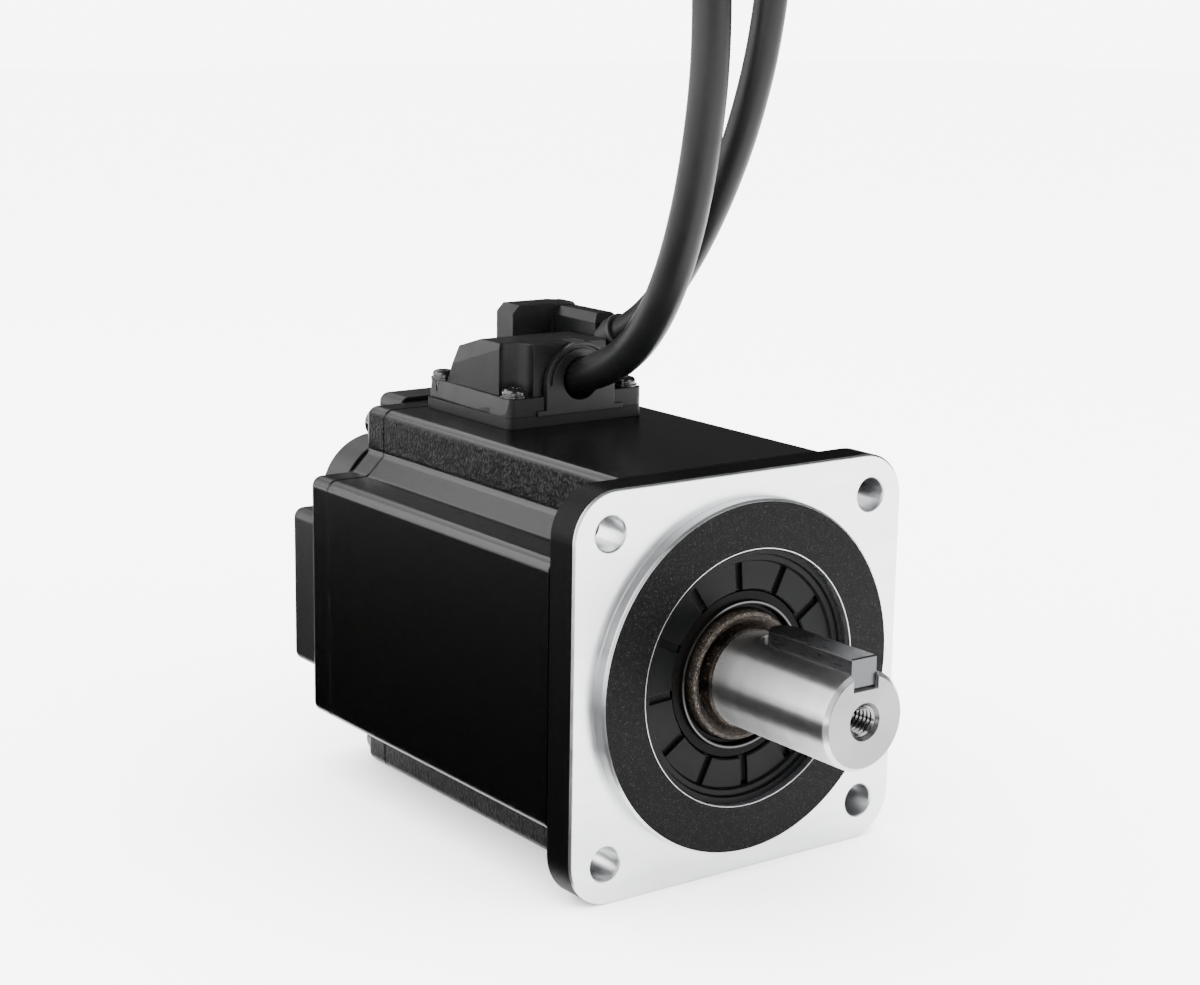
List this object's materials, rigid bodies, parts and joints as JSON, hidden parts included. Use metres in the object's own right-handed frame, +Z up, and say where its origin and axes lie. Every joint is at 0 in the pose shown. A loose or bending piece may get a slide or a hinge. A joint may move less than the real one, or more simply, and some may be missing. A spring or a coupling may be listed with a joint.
{
  "type": "servo motor",
  "caption": "Square-flange servo motor with a keyed output shaft, ribbed seal cover, notched black housing, rear encoder cover and two flying leads.",
  "frame": {"origin": "on the shaft axis in the front mounting face of the flange, the face that the pilot stands out of", "axes": "+X along the shaft, out of the motor; +Z up through the lead connectors; +Y towards the encoder lead's side, away from the power lead"},
  "size_m": [0.1752, 0.08, 0.2371],
  "materials": {
    "machined_aluminium": "bright machined",
    "black_casting": "semi-gloss black finish over cast aluminium",
    "grey_casting": "satin dark grey finish over cast aluminium",
    "ground_steel": "fine ground",
    "key_steel": "dark drawn",
    "black_screws": "black oxide",
    "bright_screws": "zinc plated",
    "bearing_steel": "polished",
    "pressed_steel": "pressed sheet",
    "seal_rubber": "oiled",
    "cover_plastic": "glass-filled black",
    "gasket_rubber": "matte",
    "core_steel": "stacked electrical sheet",
    "copper_winding": "enamelled copper wire",
    "bobbin_plastic": "natural",
    "magnet": "nickel plated",
    "encoder_metal": "turned",
    "disc_glass": "clear",
    "board": "solder mask",
    "chip": "moulded",
    "connector_plastic": "moulded dark grey",
    "gland_rubber": "moulded",
    "contact_brass": "plated",
    "wire_insulation": "extruded",
    "lead_jacket": "extruded matte",
    "plug_plastic": "moulded"
  },
  "bodies": {
    "motor_body": {"front_flange": "machined_aluminium", "stator_frame": "black_casting", "rear_bracket": "grey_casting", "encoder_cover": "grey_casting", "encoder_gasket": "gasket_rubber", "tie_bolts": "black_screws", "cover_screws": "black_screws", "front_o_ring": "seal_rubber", "rear_o_ring": "seal_rubber", "front_bearing_outer_ring": "bearing_steel", "front_bearing_shields": "pressed_steel", "rear_bearing_outer_ring": "bearing_steel", "rear_bearing_shields": "pressed_steel", "preload_washer": "pressed_steel", "oil_seal": "seal_rubber", "seal_spring": "pressed_steel", "seal_cover_ring": "cover_plastic", "stator_core": "core_steel", "coil_bobbins": "bobbin_plastic", "stator_coils": "copper_winding", "encoder_standoffs": "bright_screws", "encoder_board_screws": "bright_screws", "encoder_board": "board", "encoder_sensor": "chip", "connector_spacer": "gasket_rubber", "connector_housing": "connector_plastic", "power_gland": "gland_rubber", "encoder_housing": "connector_plastic", "encoder_gland": "gland_rubber", "connector_screws": "black_screws", "phase_leads": "wire_insulation", "terminal_pins": "contact_brass", "terminal_block": "connector_plastic", "power_lead": "lead_jacket", "encoder_lead": "lead_jacket", "power_plug": "plug_plastic", "encoder_plug": "plug_plastic"},
    "rotor": {"rotor_shaft": "ground_steel", "shaft_key": "key_steel", "rotor_core": "core_steel", "rotor_magnets": "magnet", "balance_rings": "pressed_steel", "front_bearing_inner_ring": "bearing_steel", "rear_bearing_inner_ring": "bearing_steel", "encoder_hub": "encoder_metal", "encoder_disc": "disc_glass", "encoder_hub_screw": "bright_screws"},
    "front_ball_set": {"front_bearing_balls": "bearing_steel", "front_bearing_cage": "pressed_steel"},
    "rear_ball_set": {"rear_bearing_balls": "bearing_steel", "rear_bearing_cage": "pressed_steel"}
  },
  "joints": [
    {"name": "shaft_spin", "type": "hinge", "parent": "motor_body", "child": "rotor", "pos_m": [0, 0, 0], "axis": [1, 0, 0], "continuous": true},
    {"name": "front_ball_set_spin", "type": "hinge", "parent": "motor_body", "child": "front_ball_set", "pos_m": [-0.015, 0, 0], "axis": [1, 0, 0], "continuous": true},
    {"name": "rear_ball_set_spin", "type": "hinge", "parent": "motor_body", "child": "rear_ball_set", "pos_m": [-0.087, 0, 0], "axis": [1, 0, 0], "continuous": true}
  ],
  "couplings": [
    {"joint": "front_ball_set_spin", "follows": "shaft_spin", "ratio": 0.3815},
    {"joint": "rear_ball_set_spin", "follows": "shaft_spin", "ratio": 0.3808}
  ]
}
